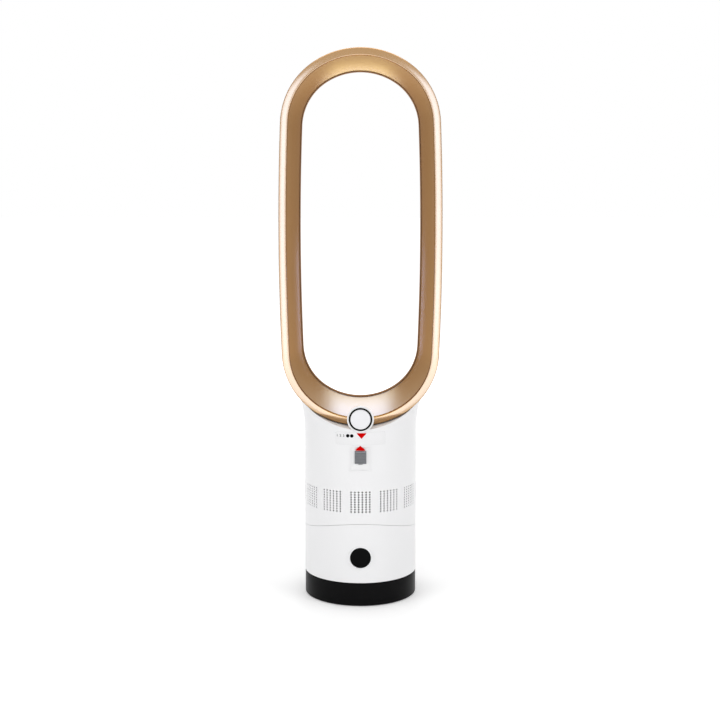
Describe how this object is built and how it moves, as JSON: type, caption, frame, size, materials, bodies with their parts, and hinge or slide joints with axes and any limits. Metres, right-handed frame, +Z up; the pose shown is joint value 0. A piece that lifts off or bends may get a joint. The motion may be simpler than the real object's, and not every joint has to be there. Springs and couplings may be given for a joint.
{
  "type": "bladeless fan",
  "caption": "Bladeless fan: a tall hollow loop with a rear air slit stands on a round body with a perforated intake that tilts and swivels on a black base.",
  "frame": {"origin": "on the floor, on the swivel axis at the centre of the round base", "axes": "+Z up; the front, with the buttons and the loop's bright rim, faces -Y"},
  "size_m": [0.204, 0.1493, 0.697],
  "materials": {
    "white_shell": "satin",
    "black_base": "matt",
    "gold_liner": "satin metallic paint",
    "rim_champagne": "bright metallic",
    "rubber": "matt",
    "steel": "brushed",
    "brass": "plain",
    "inner_plastic": "matt",
    "gear_plastic": "matt",
    "board": "matt",
    "window": "translucent",
    "slider_grey": "matt",
    "button_grey": "satin",
    "button_black": "gloss",
    "loop_white": "satin"
  },
  "bodies": {
    "base": {"base_plate": "black_base", "rubber_feet": "rubber", "ballast_ring": "steel", "base_skirt": "black_base", "mains_inlet": "inner_plastic", "inlet_pins": "brass", "base_screws": "steel", "glide_ring": "gear_plastic", "swivel_post": "steel", "swivel_retainer": "steel", "swivel_sun_gear": "gear_plastic"},
    "lower_body": {"turntable": "inner_plastic", "swivel_motor": "steel", "lower_housing": "white_shell", "control_board": "board", "power_bezel": "white_shell", "power_switch": "inner_plastic"},
    "pinion": {"swivel_pinion": "gear_plastic"},
    "power_button": {"power_button": "button_black"},
    "upper_body": {"tilt_shoe": "white_shell", "tilt_guide": "gear_plastic", "upper_housing": "white_shell", "grille_ladders": "white_shell", "partition_plate": "inner_plastic", "duct_mount_ring": "rubber", "fan_duct": "inner_plastic", "motor_bucket": "inner_plastic", "motor_stator": "steel", "motor_bearings": "steel", "neck_seal": "rubber", "loop_neck": "inner_plastic", "loop_shell": "loop_white", "loop_liner": "gold_liner", "loop_rim": "rim_champagne", "slit_spacers": "inner_plastic", "button_pod": "white_shell", "pod_trim_ring": "button_black", "mode_switch": "inner_plastic", "display_window": "window", "display_board": "board", "slider_track": "white_shell"},
    "fan_wheel": {"motor_rotor": "steel", "motor_shaft": "steel", "impeller": "inner_plastic"},
    "mode_button": {"mode_button": "button_grey"},
    "release_slider": {"release_slider": "slider_grey"}
  },
  "joints": [
    {"name": "swivel", "type": "hinge", "parent": "base", "child": "lower_body", "pos_m": [0, 0, 0.03], "axis": [0, 0, 1], "range_deg": [-40, 40]},
    {"name": "pinion_spin", "type": "hinge", "parent": "lower_body", "child": "pinion", "pos_m": [0.0325, 0, 0.03], "axis": [0, 0, 1], "range_deg": [-134, 134]},
    {"name": "power_button_press", "type": "slide", "parent": "lower_body", "child": "power_button", "axis": [0, 1, 0], "range_m": [0, 0.0015], "stiffness_N_per_m": 900, "springref_m": -0.0005},
    {"name": "tilt", "type": "hinge", "parent": "lower_body", "child": "upper_body", "pos_m": [0, 0, 0.2827], "axis": [1, 0, 0], "range_deg": [-10, 10]},
    {"name": "fan_spin", "type": "hinge", "parent": "upper_body", "child": "fan_wheel", "pos_m": [0, 0, 0.165], "axis": [0, 0, 1], "continuous": true},
    {"name": "mode_button_press", "type": "slide", "parent": "upper_body", "child": "mode_button", "axis": [0, 1, 0], "range_m": [0, 0.001], "stiffness_N_per_m": 900, "springref_m": -0.0005},
    {"name": "release_slide", "type": "slide", "parent": "upper_body", "child": "release_slider", "axis": [0, 0, -1], "range_m": [0, 0.006], "stiffness_N_per_m": 200, "springref_m": -0.004}
  ],
  "couplings": [
    {"joint": "pinion_spin", "follows": "swivel", "ratio": 3.3333}
  ]
}
